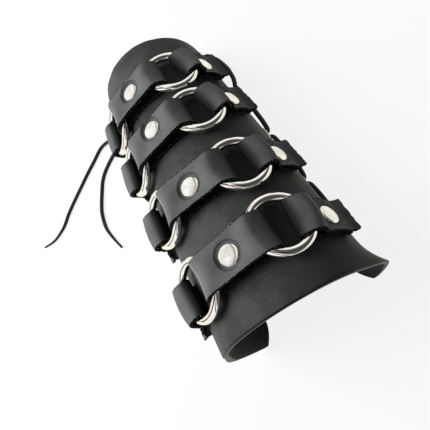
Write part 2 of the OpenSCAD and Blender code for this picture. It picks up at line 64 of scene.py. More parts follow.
# Lace ends: the two loose ends of one waxed leather thong, 2.5 mm thick, cut to soft points.
# They leave the hitch at the left wrist eyelet and lie on the table.
LACE_D = 0.0025
TIP_D = 0.0014
THONG_SIDES = 12
THONG_FLATS = 0.05
CURVE_STEPS = 6
TAPER_STEPS = 2.4 * CURVE_STEPS
LIE = 0.0013


def add(tree, kind, inputs, **settings):
    """A node with its settings and its input values or links."""
    made = tree.nodes.new(kind)
    for key, value in settings.items():
        setattr(made, key, value)
    for key, value in inputs.items():
        if isinstance(value, bpy.types.NodeSocket):
            tree.links.new(value, made.inputs[key])
        else:
            made.inputs[key].default_value = value
    return made


def blank_effect(name, inputs, outputs):
    """An empty node group; outputs ending in Color are colours, all others numbers."""
    tree = bpy.data.node_groups.new(name, "ShaderNodeTree")
    for key in inputs:
        kind = "NodeSocketVector" if key == "Place" else "NodeSocketFloat"
        tree.interface.new_socket(name=key, in_out="INPUT", socket_type=kind)
    for key in outputs:
        kind = "NodeSocketColor" if key.endswith("Color") else "NodeSocketFloat"
        tree.interface.new_socket(name=key, in_out="OUTPUT", socket_type=kind)
    return tree, tree.nodes.new("NodeGroupInput").outputs, tree.nodes.new("NodeGroupOutput").inputs


def maths(tree, operation, a, b=0.0, c=0.0):
    """A sum on two values or links, and a third number for MULTIPLY_ADD."""
    made = add(tree, "ShaderNodeMath", {0: a, 1: b}, operation=operation)
    if operation == "MULTIPLY_ADD":
        made.inputs[2].default_value = c
    return made.outputs[0]


def noisy(tree, place, scale, detail=2.0, rough=0.5):
    return add(tree, "ShaderNodeTexNoise", {"Vector": place, "Scale": scale, "Detail": detail,
                                            "Roughness": rough}).outputs["Fac"]


def band_mask(tree, value, low, high):
    """A mask that turns on smoothly as the value goes from low to high."""
    return add(tree, "ShaderNodeMapRange", {"Value": value, "From Min": low, "From Max": high},
               interpolation_type="SMOOTHSTEP").outputs["Result"]


def two_tone(tree, mask, a, b):
    """Colour a where the mask is 0, colour b where it is 1; either may be a link."""
    made = add(tree, "ShaderNodeMix", {"Factor": mask}, data_type="RGBA")
    for socket, value in ((made.inputs[6], a), (made.inputs[7], b)):
        if isinstance(value, bpy.types.NodeSocket):
            tree.links.new(value, socket)
        else:
            socket.default_value = (*value, 1)
    return made.outputs[2]


def finish_of(name, **numbers):
    """A new material, its node tree and its shader, with the shader's uniform numbers set."""
    made = bpy.data.materials.new(name)
    made.use_nodes = True
    shader = made.node_tree.nodes["Principled BSDF"]
    for key, value in numbers.items():
        shader.inputs[key.replace("_", " ")].default_value = value
    return made, made.node_tree, shader


def bumped(tree, shader, height, depth, strength):
    bump = add(tree, "ShaderNodeBump", {"Height": height, "Distance": depth, "Strength": strength})
    tree.links.new(bump.outputs["Normal"], shader.inputs["Normal"])


def grain_effect():
    """Leather grain: pebbles about 1 / Cells metres wide, pores, and slow changes of tone."""
    tree, given, out = blank_effect("leather_grain", ("Place", "Cells"), ("Height", "Tone", "Pores"))
    pebbles = add(tree, "ShaderNodeTexVoronoi", {"Vector": given["Place"], "Scale": given["Cells"],
                                                 "Randomness": 1.0}, feature="DISTANCE_TO_EDGE")
    valley = band_mask(tree, pebbles.outputs["Distance"], 0.0, 0.32)
    fine = noisy(tree, given["Place"], 2600.0, 3.0, 0.6)
    rolling = noisy(tree, given["Place"], 420.0, 3.0, 0.55)
    height = maths(tree, "ADD", maths(tree, "MULTIPLY", valley, 0.34), maths(tree, "MULTIPLY", fine, 0.26))
    total = maths(tree, "ADD", height, maths(tree, "MULTIPLY", rolling, 0.5))
    tree.links.new(total, out["Height"])
    slow = noisy(tree, given["Place"], 70.0, 4.0, 0.6)
    mottled = maths(tree, "MULTIPLY_ADD", noisy(tree, given["Place"], 1100.0, 3.0, 0.65), 0.4, -0.2)
    tree.links.new(band_mask(tree, maths(tree, "ADD", slow, mottled), 0.3, 0.7), out["Tone"])
    tree.links.new(band_mask(tree, noisy(tree, given["Place"], 1300.0, 2.0, 0.5), 0.6, 0.72), out["Pores"])
    return tree


leather_grain = grain_effect()


def grained(tree, place, cells):
    made = add(tree, "ShaderNodeGroup", {}, node_tree=leather_grain)
    tree.links.new(place, made.inputs["Place"])
    made.inputs["Cells"].default_value = cells
    return made.outputs


def object_place(tree):
    return tree.nodes.new("ShaderNodeTexCoord").outputs["Object"]


def thong_finish():
    """Waxed black thong: fine lengthwise fibres, and a little greyer in random patches."""
    made, tree, shader = finish_of("waxed_thong", Specular_IOR_Level=0.4)
    run = add(tree, "ShaderNodeAttribute", {}, attribute_name="leather").outputs["Vector"]
    stretched = add(tree, "ShaderNodeMapping", {"Vector": run, "Scale": (0.16, 1.0, 1.0)}).outputs["Vector"]
    fibres = noisy(tree, stretched, 2400.0, 3.0, 0.6)
    rubbed = band_mask(tree, noisy(tree, run, 260.0, 3.0, 0.6), 0.45, 0.75)
    tree.links.new(two_tone(tree, rubbed, (0.009, 0.009, 0.0085), (0.021, 0.021, 0.019)),
                   shader.inputs["Base Color"])
    tree.links.new(maths(tree, "MULTIPLY_ADD", fibres, 0.3, 0.36), shader.inputs["Roughness"])
    bumped(tree, shader, fibres, 0.00012, 0.55)
    return made


waxed_thong = thong_finish()


def new_piece(name, bm):
    mesh = bpy.data.meshes.new(name)
    bm.to_mesh(mesh)
    bm.free()
    piece = bpy.data.objects.new(name, mesh)
    bpy.context.scene.collection.objects.link(piece)
    return piece


def tube_frames(points):
    """Directions across a path that do not twist along it."""
    across = Vector((0.31, 0.22, 0.93))
    for k, point in enumerate(points):
        ahead = (points[min(k + 1, len(points) - 1)] - points[max(k - 1, 0)]).normalized()
        across = (across - across.dot(ahead) * ahead).normalized()
        yield point, across, ahead.cross(across)


def lace_tube(points, widths):
    """A thong: a grid wrapped round its path, joined along its seam and capped at its ends."""
    bm = bmesh.new()
    count = len(points)
    bmesh.ops.create_grid(bm, x_segments=count - 1, y_segments=THONG_SIDES, size=0.5)
    rings = list(tube_frames(points))
    along = [0.0]
    for a, b in zip(points, points[1:]):
        along.append(along[-1] + (b - a).length)
    run_layer = bm.verts.layers.float_vector.new("leather")
    for v in bm.verts:
        k = round((v.co.x + 0.5) * (count - 1))
        turn = 2 * pi * round((v.co.y + 0.5) * THONG_SIDES) / THONG_SIDES
        point, across, aside = rings[k]
        size = widths[k] / 2 * (1 + THONG_FLATS * cos(4 * turn))
        v[run_layer] = (along[k], 0.5 * LACE_D * cos(turn), 0.5 * LACE_D * sin(turn))
        v.co = point + size * (cos(turn) * across + sin(turn) * aside)
    bmesh.ops.remove_doubles(bm, verts=bm.verts, dist=1e-6)
    bmesh.ops.holes_fill(bm, edges=[e for e in bm.edges if len(e.link_faces) == 1], sides=0)
    bmesh.ops.recalc_face_normals(bm, faces=bm.faces)
    for face in bm.faces:
        face.smooth = True
    return bm


def through(route):
    """A smooth line through the route's points."""
    points = [Vector(p) for p in route]
    line = []
    for k in range(len(points) - 1):
        a, b = points[max(k - 1, 0)], points[k]
        c, d = points[k + 1], points[min(k + 2, len(points) - 1)]
        for m in range(CURVE_STEPS):
            u = m / CURVE_STEPS
            line.append(0.5 * (2 * b + (c - a) * u + (2 * a - 5 * b + 4 * c - d) * u * u
                               + (3 * b - a - 3 * c + d) * u * u * u))
    return line + [points[-1]]


END_A = [(-0.03993, 0.07322, 0.00826), (-0.04233, 0.07331, 0.00815), (-0.0445, 0.0765, 0.0065),
         (-0.048, 0.0815, 0.0036), (-0.053, 0.085, 0.0016), (-0.062, 0.086, LIE),
         (-0.072, 0.082, LIE), (-0.082, 0.078, LIE), (-0.092, 0.0735, LIE), (-0.102, 0.069, LIE),
         (-0.111, 0.0645, LIE), (-0.120, 0.059, LIE), (-0.132, 0.056, LIE), (-0.143, 0.0575, LIE)]
END_B = [(-0.0380, 0.07284, 0.00556), (-0.03834, 0.07492, 0.00441), (-0.042, 0.0774, 0.0032),
         (-0.047, 0.0765, 0.0016), (-0.054, 0.075, LIE), (-0.066, 0.070, LIE),
         (-0.073, 0.065, LIE), (-0.078, 0.0585, LIE), (-0.083, 0.051, LIE), (-0.086, 0.045, LIE),
         (-0.088, 0.035, LIE), (-0.0865, 0.025, LIE), (-0.084, 0.016, LIE)]


def tapering(count):
    """Widths along an end, down to its soft point."""
    return [TIP_D + (LACE_D - TIP_D) * min(1.0, (count - 1 - k) / TAPER_STEPS) for k in range(count)]


for name, route, length in (("lace_end_a_thong", END_A, 0.1166), ("lace_end_b_thong", END_B, 0.0949)):
    path = through(route)
    piece = new_piece(name, lace_tube(path, tapering(len(path))))
    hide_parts(name.replace("_thong", ""))
    piece.data.materials.append(waxed_thong)
    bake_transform(piece)


# Cuff: one blank of black bridle leather, 2.6 mm thick, bent into a cone that is open below.
# It is modelled as two halves that meet on top, with punched holes for the eyelets, rounded cut edges and the
# elbow corners flared. Each half's flex line is listed below; nothing here bends the halves at it.
SIDES = ((1, "right"), (-1, "left"))
CUFF_L = 0.162
ELBOW_R = 0.0399
WRIST_R = 0.0334
OVAL = 0.0013
CUFF_T = 0.0026
ELBOW_DROP = 0.028
WRIST_DROP = 0.0095
FLARE = 0.0052
FLARE_L = 0.014
EYELET_IN = 0.0085
PUNCH_R = 0.0034
EDGE_EASE = 0.0007
SLOPE = atan((ELBOW_R - WRIST_R) / CUFF_L)
TILT = atan((ELBOW_DROP - WRIST_DROP) / CUFF_L)
STAND = Matrix.Translation((0, -0.080857, ELBOW_DROP * cos(TILT))) @ Matrix.Rotation(-TILT, 4, "X")


def mean_r(y):
    """The cuff's mean outer radius, y from the elbow edge."""
    return ELBOW_R + (WRIST_R - ELBOW_R) * y / CUFF_L


def arc(s, y):
    """The angle that a distance s round the cuff makes."""
    return s / mean_r(y)


def over_face(t, y, h):
    """A point h over the cuff's outer face, on the cuff's own axis."""
    return Vector(((mean_r(y) - OVAL + h) * sin(t), y, (mean_r(y) + OVAL + h) * cos(t)))


def edge_t(y, h):
    """The angle of the free edge, h over the outer face."""
    drop = -ELBOW_DROP + (ELBOW_DROP - WRIST_DROP) * y / CUFF_L
    return acos(drop / (mean_r(y) + OVAL + h))


def smooth_step(x):
    """0 below 0, 1 above 1, and a soft step between."""
    x = min(1.0, max(0.0, x))
    return x * x * (3 - 2 * x)


def flare(t, y):
    """How far the elbow corners stand out."""
    return FLARE * smooth_step((abs(t) - radians(66)) / radians(32)) * max(0.0, 1 - y / FLARE_L) ** 2


def spot(t, y):
    """The place on the outer face at angle t: x round the cuff, y to the wrist, z out."""
    lean = atan2((mean_r(y) + OVAL) * sin(t), (mean_r(y) - OVAL) * cos(t))
    return STAND @ Matrix.Translation(over_face(t, y, 0)) @ Matrix.Rotation(lean, 4, "Y") \
        @ Matrix.Rotation(-SLOPE, 4, "X")


EYELET_Y = [CUFF_L - 0.007 - 0.033 * j for j in range(5)]


def eyelet_t(y):
    return edge_t(y, 0) - arc(EYELET_IN, y)


def eyelet_spot(side, y):
    return spot(side * eyelet_t(y), y)


def punch(piece, places, radius, depth):
    """Round holes through a piece, cut as a punch would."""
    cutters = bmesh.new()
    for place in places:
        bmesh.ops.create_cone(cutters, cap_ends=True, segments=40, radius1=radius, radius2=radius,
                              depth=depth, matrix=place)
    cutter = new_piece("punch_tool", cutters)
    cut = piece.modifiers.new("punched", "BOOLEAN")
    cut.operation = "DIFFERENCE"
    cut.solver = "EXACT"
    cut.object = cutter
    bpy.context.view_layer.update()
    mesh = bpy.data.meshes.new_from_object(piece.evaluated_get(bpy.context.evaluated_depsgraph_get()))
    piece.modifiers.clear()
    old, piece.data = piece.data, mesh
    bpy.data.meshes.remove(old)
    tool_mesh = cutter.data
    bpy.data.objects.remove(cutter)
    bpy.data.meshes.remove(tool_mesh)
    mesh.name = piece.name


def cuff_finishes():
    """Drum-dyed black bridle leather: grain side, burnished cut edges, and the flesh side."""
    made, tree, shader = finish_of("black_bridle_leather", Specular_IOR_Level=0.07)
    place = object_place(tree)
    grain = grained(tree, place, 1000.0)
    dyed = two_tone(tree, grain["Tone"], (0.041, 0.0447, 0.0430), (0.069, 0.0740, 0.0705))
    tree.links.new(two_tone(tree, grain["Pores"], dyed, (0.036, 0.038, 0.037)), shader.inputs["Base Color"])
    worn = maths(tree, "MULTIPLY_ADD", grain["Tone"], 0.12, 0.43)
    tree.links.new(maths(tree, "ADD", worn, maths(tree, "MULTIPLY", grain["Pores"], 0.08)),
                   shader.inputs["Roughness"])
    bumped(tree, shader, grain["Height"], 0.00013, 0.7)
    edge, tree, shader = finish_of("burnished_edge", Specular_IOR_Level=0.2)
    rubbed = noisy(tree, object_place(tree), 500.0, 4.0, 0.65)
    tree.links.new(two_tone(tree, band_mask(tree, rubbed, 0.45, 0.7), (0.006, 0.006, 0.0057),
                            (0.022, 0.0215, 0.020)), shader.inputs["Base Color"])
    tree.links.new(maths(tree, "MULTIPLY_ADD", rubbed, 0.25, 0.3), shader.inputs["Roughness"])
    bumped(tree, shader, rubbed, 0.0002, 0.5)
    flesh, tree, shader = finish_of("flesh_side", Specular_IOR_Level=0.25, Sheen_Weight=0.25,
                                    Sheen_Roughness=0.6)
    nap = noisy(tree, object_place(tree), 1500.0, 5.0, 0.7)
    cloud = noisy(tree, object_place(tree), 90.0, 3.0, 0.6)
    tree.links.new(two_tone(tree, band_mask(tree, cloud, 0.35, 0.7), (0.028, 0.026, 0.024),
                            (0.048, 0.044, 0.040)), shader.inputs["Base Color"])
    tree.links.new(maths(tree, "MULTIPLY_ADD", nap, 0.15, 0.8), shader.inputs["Roughness"])
    bumped(tree, shader, nap, 0.0003, 0.7)
    return made, edge, flesh


cuff_leathers = cuff_finishes()
cuff_halves = []
ROUND, LONG = 72, 84
CROWDING = 1.4
for side, side_name in SIDES:
    bm = bmesh.new()
    bmesh.ops.create_grid(bm, x_segments=ROUND, y_segments=LONG, size=0.5)
    for v in bm.verts:
        u, y = (v.co.x + 0.5) ** CROWDING, (v.co.y + 0.5) * CUFF_L
        t = side * u * edge_t(y, flare(pi, y))
        wave = 0.0005 * noise.noise(Vector((2.3 * t, 17 * y, 4.0)))
        wave += 0.00022 * noise.noise(Vector((6.1 * t, 60 * y, 9.0)))
        v.co = STAND @ over_face(t, y, flare(t, y) + wave * smooth_step(1.15 - u))
        if u > 0.9999:
            v.co.z = 0.0
    bmesh.ops.recalc_face_normals(bm, faces=bm.faces)
    grain_faces = set(bm.faces)
    made = bmesh.ops.extrude_face_region(bm, geom=list(bm.faces))["geom"]
    for v in [g for g in made if isinstance(g, bmesh.types.BMVert)]:
        local = STAND.inverted() @ v.co
        y = min(max(local.y, 0.0), CUFF_L)
        t = atan2(local.x / (mean_r(y) - OVAL), local.z / (mean_r(y) + OVAL))
        ratio = abs(t) / edge_t(y, flare(pi, y))
        t_in = side * ratio * edge_t(y, flare(pi, y) - CUFF_T)
        v.co = STAND @ over_face(t_in, y, flare(t, y) - CUFF_T)
        if ratio > 0.9995:
            v.co.z = 0.0
    flesh_faces = {g for g in made if isinstance(g, bmesh.types.BMFace)}
    for face in bm.faces:
        face.material_index = 0 if face in grain_faces else 2 if face in flesh_faces else 1
    bmesh.ops.recalc_face_normals(bm, faces=bm.faces)
    seam = [e for e in bm.edges if all(abs(v.co.x) < 0.0002 for v in e.verts)]
    rims = [e for e in bm.edges if len(e.link_faces) == 2 and e.calc_face_angle() > radians(55)
            and e not in seam]
    bmesh.ops.bevel(bm, geom=rims, offset=EDGE_EASE, offset_type="OFFSET", affect="EDGES", segments=3,
                    profile=0.5, material=1, clamp_overlap=True)
    for face in bm.faces:
        face.smooth = True
    for edge in bm.edges:
        if all(abs(v.co.x) < 0.0002 for v in edge.verts):
            edge.smooth = False
    half = new_piece(f"cuff_{side_name}_leather", bm)
    for finish in cuff_leathers:
        half.data.materials.append(finish)
    punch(half, [eyelet_spot(side, y) for y in EYELET_Y], PUNCH_R, 0.012)
    cuff_halves.append(half)

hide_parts("cuff_right_side", "cuff_centre")
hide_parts("cuff_left_side")
# The middle of each flex line, and how far the leather leans there, in degrees.
FLEX = {1: (Vector((0.01118, 0.00355, 0.05301)), 19.3), -1: (Vector((-0.01343, 0.00343, 0.05198)), -23.2)}
for half, (side, side_name) in zip(cuff_halves, SIDES):
    place, angle = FLEX[side]
    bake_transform(half)


# Straps: short bands of softer 1.6 mm leather with raw cut edges. Each is folded round two
# rings, its ends meeting underneath, and one rivet through both layers holds it. The cap
# presses the upper layer down, and the band stays up at its edges.
# Rows count from the wrist. Angles in the rows' tables are in degrees.
ROW_Y = {1: 0.1278, 2: 0.097, 3: 0.061, 4: 0.026}
ROW_TURN = {1: -5.0, 2: -3.8, 3: 0.5, 4: 1.0}
ROW_SLANT = {1: -1.5, 2: 0.0, 3: -3.2, 4: 2.8}
RIVET_OFF = {1: 0.0018, 2: 0.0031, 3: 0.0, 4: 0.0}
RING_REACH = 0.0211
RING_R, WIRE_R = 0.01205, 0.00195
RING_LIFT = {1: 0.0031, -1: 0.0036}
RING_LEAN = {1: 0.0, -1: 4.0}
STRAP_W, STRAP_T = 0.0168, 0.0016
# Gaps between the layers, and the height of the two layers under a cap.
LAY = 0.00012
PLY_GAP = 0.00003
STACK = LAY + 2 * STRAP_T
PINCH = 0.00485
# The fold round the wire: its bore, its outer face, and how its crest is bowed and filled out.
BORE = WIRE_R + 0.0004
FOLD_TOP = BORE + STRAP_T
FOLD_LOW = BORE + 0.0011
FOLD_R = (FOLD_TOP + FOLD_LOW) / 2
FOLD_Z = (FOLD_TOP - FOLD_LOW) / 2
CREST_BOW, CREST_GAP = 0.5, 0.00025
INNER_CREST = 0.0106
NOSE_GAP = 0.00035
SINK_MID, SINK_BOW = 1.3, 0.3
# Where the pale crease lies round the fold, partly wear and partly a painted highlight, and where the painted
# shade inside the fold fades out.
CREASE_AT, CREASE_HALF = radians(54), radians(9)
FOLD_SHADE_FROM, FOLD_SHADE_SPAN = radians(12), radians(62)
# The upper layer's height, its dish round the cap, and the lower layer's two ends.
STRAP_MID, STRAP_CUP = 0.0058, 0.0007
CAP_RISE = 0.0018
DISH_R, DISH_EDGE = 0.0048, 0.0012
LEVEL_HALF = 0.0046
LOW_END, HALF_SLIT = RING_REACH - 0.0091, 0.0003
# The mesh of a band, and its cut sides.
STATION = 0.00034
COLUMNS = 17
ROUNDING = 0.00024
RAG_LIFT, RAG = 0.00014, 0.0003


def ring_t(side, row):
    """The angle round the cuff of a ring's middle."""
    return radians(ROW_TURN[row]) + side * arc(RING_REACH * cos(radians(ROW_SLANT[row])), ROW_Y[row])


def ring_y(side, row):
    return ROW_Y[row] + side * RING_REACH * sin(radians(ROW_SLANT[row]))


def ring_spot(side, row):
    """The middle of a ring, z out of its plane."""
    return spot(ring_t(side, row), ring_y(side, row)) @ Matrix.Translation((0, 0, RING_LIFT[side])) \
        @ Matrix.Rotation(radians(RING_LEAN[side]), 4, "Y")


def slew(side, s, w, slant):
    """Along and across a slanted band, as distances round the cuff and toward the wrist."""
    return side * (s * cos(slant) - w * sin(slant)), s * sin(slant) + w * cos(slant)


def on_band(side, t, y, s, w, slant, h):
    """A point of a band that lies on the cuff, h over its face."""
    dx, dy = slew(side, s, w, slant)
    return STAND @ over_face(t + arc(dx, y), y + dy, h)


def by_ring(side, row, q, w, slant, z):
    """A point of a band by its distances from the middle of the ring that it holds."""
    dx, dy = slew(side, q, w, slant)
    return ring_spot(side, row) @ Vector((dx, dy, z))


def crest(w):
    """The highest line of a band over a wire, bowed with the ring."""
    return RING_R + CREST_GAP - CREST_BOW * (RING_R - sqrt(RING_R ** 2 - w * w))


def fold(side, row, sign, w, slant, wide, outer):
    """Round the wire of a ring, from the low layer up to the crest. Each point has its share of the pale
    crease where the leather turns, partly wear and partly a painted highlight, and of the painted shade
    inside the fold."""
    nose = sqrt((RING_R - WIRE_R) ** 2 - wide ** 2 / 4) - NOSE_GAP + BORE
    r, mid = (FOLD_R, FOLD_Z) if outer else (BORE, 0.0)
    top = crest(w) if outer else min(INNER_CREST, crest(w))
    sink = SINK_MID - SINK_BOW * (2 * abs(w) / wide) ** 2
    line = []
    for k in range(27):
        a = radians(-90 + 7.2 * k) if k < 13 else radians(min(89.99, 6.9 * (k - 13)))
        if a < 0:
            q, z = nose - r * cos(a), mid + r * sin(a)
        else:
            q, z = top - (top - nose + r) * cos(a) ** sink, mid + r * sin(a) ** sink
        pale = exp(-((a - CREASE_AT) / CREASE_HALF) ** 2)
        fold_shade = 1 - smooth_step((a - FOLD_SHADE_FROM) / FOLD_SHADE_SPAN)
        line.append((by_ring(side, row, sign * q, w, slant, z), pale, fold_shade))
    return line


def bend_line(a, b, c, d, n):
    """A soft curve from a toward b, and from c on to d, without its first point."""
    return [(1 - u) ** 3 * a + 3 * (1 - u) ** 2 * u * b + 3 * (1 - u) * u * u * c + u ** 3 * d
            for u in [k / n for k in range(1, n + 1)]]


def over_wire(side, row, w, slant, turned, outer):
    """Over the top of the wire and down its far side, and the direction at its end."""
    r, q = (FOLD_TOP if outer else BORE), crest(w)
    line = [by_ring(side, row, -q - r * sin(turned * k / 7), w, slant, r * cos(turned * k / 7))
            for k in range(1, 8)]
    return line, (line[-1] - line[-2]).normalized()


def seat(y):
    """How high a rivet cap sits on two layers, over the cuff's outer face."""
    return (mean_r(y) + STACK) * cos(arc(PINCH, y)) - mean_r(y)


def closer(outer, inner):
    """Both sides of a band with more stations, about STATION apart."""
    middle = len(outer[0]) // 2
    new_outer, new_inner = [outer[0]], [inner[0]]
    for k in range(1, len(outer)):
        n = max(1, round((outer[k][middle][0] - outer[k - 1][middle][0]).length / STATION))
        for m in range(1, n + 1):
            for rows, made in ((outer, new_outer), (inner, new_inner)):
                made.append([(a[0].lerp(b[0], m / n), a[1].lerp(b[1], m / n), a[2] + (b[2] - a[2]) * m / n)
                             for a, b in zip(rows[k - 1], rows[k])])
    return new_outer, new_inner


def band(name, outer, inner, seed):
    """A band of leather: one sheet of points for its grain side, extruded to one for its
    flesh side, with eased edges and cut sides that are a little ragged."""
    outer, inner = closer(outer, inner)
    rows, cols = len(outer), len(outer[0])
    bm = bmesh.new()
    bmesh.ops.create_grid(bm, x_segments=cols - 1, y_segments=rows - 1, size=0.5)
    number = bm.verts.layers.int.new("number")
    leather = bm.verts.layers.float_vector.new("leather")
    crease = bm.verts.layers.float.new("crease")
    for v in bm.verts:
        r, c = round((v.co.y + 0.5) * (rows - 1)), round((v.co.x + 0.5) * (cols - 1))
        v.co, v[leather], v[crease] = outer[r][c]
        v[number] = r * cols + c
    grain_faces = set(bm.faces)
    made = bmesh.ops.extrude_face_region(bm, geom=list(bm.faces))["geom"]
    for v in [g for g in made if isinstance(g, bmesh.types.BMVert)]:
        v.co, v[leather], v[crease] = inner[v[number] // cols][v[number] % cols]
    flesh_faces = {g for g in made if isinstance(g, bmesh.types.BMFace)}
    for face in bm.faces:
        face.material_index = 0 if face in grain_faces else 2 if face in flesh_faces else 1
        face.smooth = True
    bmesh.ops.recalc_face_normals(bm, faces=bm.faces)
    rungs = [e for e in bm.edges if {f.material_index for f in e.link_faces} == {1}]
    bmesh.ops.subdivide_edges(bm, edges=rungs, cuts=5, use_grid_fill=True)
    borders = [e for e in bm.edges if {f.material_index for f in e.link_faces} in ({0, 1}, {1, 2})]
    bmesh.ops.bevel(bm, geom=borders, offset=ROUNDING, offset_type="OFFSET", affect="EDGES", segments=2,
                    profile=0.5, material=1, clamp_overlap=True)
    bm.normal_update()
    for v in bm.verts:
        if all(f.material_index == 1 for f in v.link_faces):
            rag = 0.5 * noise.noise(v.co * 700 + Vector((seed, 0, 0))) + 1.2 * noise.noise(v.co * 1900)
            v.co += v.normal * (RAG_LIFT + RAG * rag)
    return new_piece(name, bm)


def band_finishes():
    """Soft black strap leather, its raw fibrous cut, and its flesh side."""
    made, tree, shader = finish_of("strap_grain_side", Specular_IOR_Level=0.11)
    grain = grained(tree, object_place(tree), 1250.0)
    mark = add(tree, "ShaderNodeAttribute", {}, attribute_name="leather").outputs["Vector"]
    parts = add(tree, "ShaderNodeSeparateXYZ", {"Vector": mark}).outputs
    # The grain side is paler in ragged patches along both of its edges.
    rim = band_mask(tree, parts["Y"], 0.88, 0.985)
    ragged = band_mask(tree, noisy(tree, mark, 700.0, 3.0, 0.6), 0.35, 0.6)
    worn = maths(tree, "MULTIPLY", rim, ragged)
    # Painted shade: a thin dark ring round each rivet cap, where the upper layer dips into its dish.
    cap_ring_shade = maths(tree, "MULTIPLY", band_mask(tree, parts["Z"], 0.0052, 0.0056),
                      band_mask(tree, parts["Z"], 0.0063, 0.0058))
    dyed = two_tone(tree, grain["Tone"], (0.090, 0.0960, 0.0935), (0.127, 0.1340, 0.1305))
    cap_ring_shaded = two_tone(tree, maths(tree, "MULTIPLY", cap_ring_shade, 0.6), dyed, (0.026, 0.027, 0.027))
    edged = two_tone(tree, maths(tree, "MULTIPLY", worn, 0.5), cap_ring_shaded, (0.115, 0.116, 0.110))
    # The crease attribute: above 0 the pale crease, partly wear and partly a painted highlight; below 0
    # painted shade inside the fold.
    turned = add(tree, "ShaderNodeAttribute", {}, attribute_name="crease").outputs["Fac"]
    stretched = maths(tree, "MULTIPLY", band_mask(tree, turned, 0.0, 1.0),
                      band_mask(tree, noisy(tree, mark, 500.0, 3.0, 0.6), 0.25, 0.55))
    fold_shaded = two_tone(tree, band_mask(tree, maths(tree, "MULTIPLY", turned, -1.0), 0.0, 1.0), edged,
                      (0.009, 0.0095, 0.0095))
    tree.links.new(two_tone(tree, stretched, fold_shaded, (0.24, 0.24, 0.225)), shader.inputs["Base Color"])
    tree.links.new(maths(tree, "MULTIPLY_ADD", grain["Tone"], 0.12, 0.44), shader.inputs["Roughness"])
    bumped(tree, shader, grain["Height"], 0.00013, 0.7)
    cut, tree, shader = finish_of("raw_cut_edge", Specular_IOR_Level=0.2)
    place = object_place(tree)
    fibres = noisy(tree, place, 1700.0, 5.0, 0.75)
    tufts = band_mask(tree, noisy(tree, place, 1500.0, 3.0, 0.7), 0.56, 0.64)
    tree.links.new(two_tone(tree, tufts, (0.0040, 0.0040, 0.0038), (0.34, 0.34, 0.33)),
                   shader.inputs["Base Color"])
    tree.links.new(maths(tree, "MULTIPLY_ADD", fibres, 0.1, 0.85), shader.inputs["Roughness"])
    bumped(tree, shader, fibres, 0.0004, 1.0)
    flesh, tree, shader = finish_of("strap_flesh_side", Specular_IOR_Level=0.2)
    nap = noisy(tree, object_place(tree), 1600.0, 5.0, 0.7)
    tree.links.new(two_tone(tree, band_mask(tree, nap, 0.4, 0.7), (0.008, 0.008, 0.0075),
                            (0.022, 0.021, 0.019)), shader.inputs["Base Color"])
    tree.links.new(maths(tree, "MULTIPLY_ADD", nap, 0.1, 0.85), shader.inputs["Roughness"])
    bumped(tree, shader, nap, 0.0003, 0.8)
    return made, cut, flesh


strap_finishes = band_finishes()


def columns(wide):
    """Places across a band, closer together toward its edges."""
    most = radians(90) * 0.86
    return [wide / 2 * sin(most * (2 * k / (COLUMNS - 1) - 1)) / sin(most) for k in range(COLUMNS)]


def sheet(column, wide, hub, outer, puff):
    """The points of one side of a band. Each carries its run, place across and distance from the rivet, and
    its crease value: the pale crease, partly wear and partly a painted highlight, and the painted shade
    inside the fold. The puff shapes the upper layer round the cap."""
    back = hub.inverted()
    out_of = (hub.to_3x3() @ Vector((0, 0, 1))).normalized()
    lines = []
    for w in columns(wide):
        line, run, last = [], 0.0, None
        for p, upper, crease in column(w, outer):
            local = back @ p
            r = sqrt(local.x ** 2 + local.y ** 2)
            if upper:
                p = p + out_of * puff(local.x, w, r)
            run += (p - last).length if last else 0.0
            last = p
            line.append((p, Vector((run, abs(w) / (wide / 2), r if upper else 0.02)), crease))
        lines.append(line)
    return [[line[k] for line in lines] for k in range(len(lines[0]))]


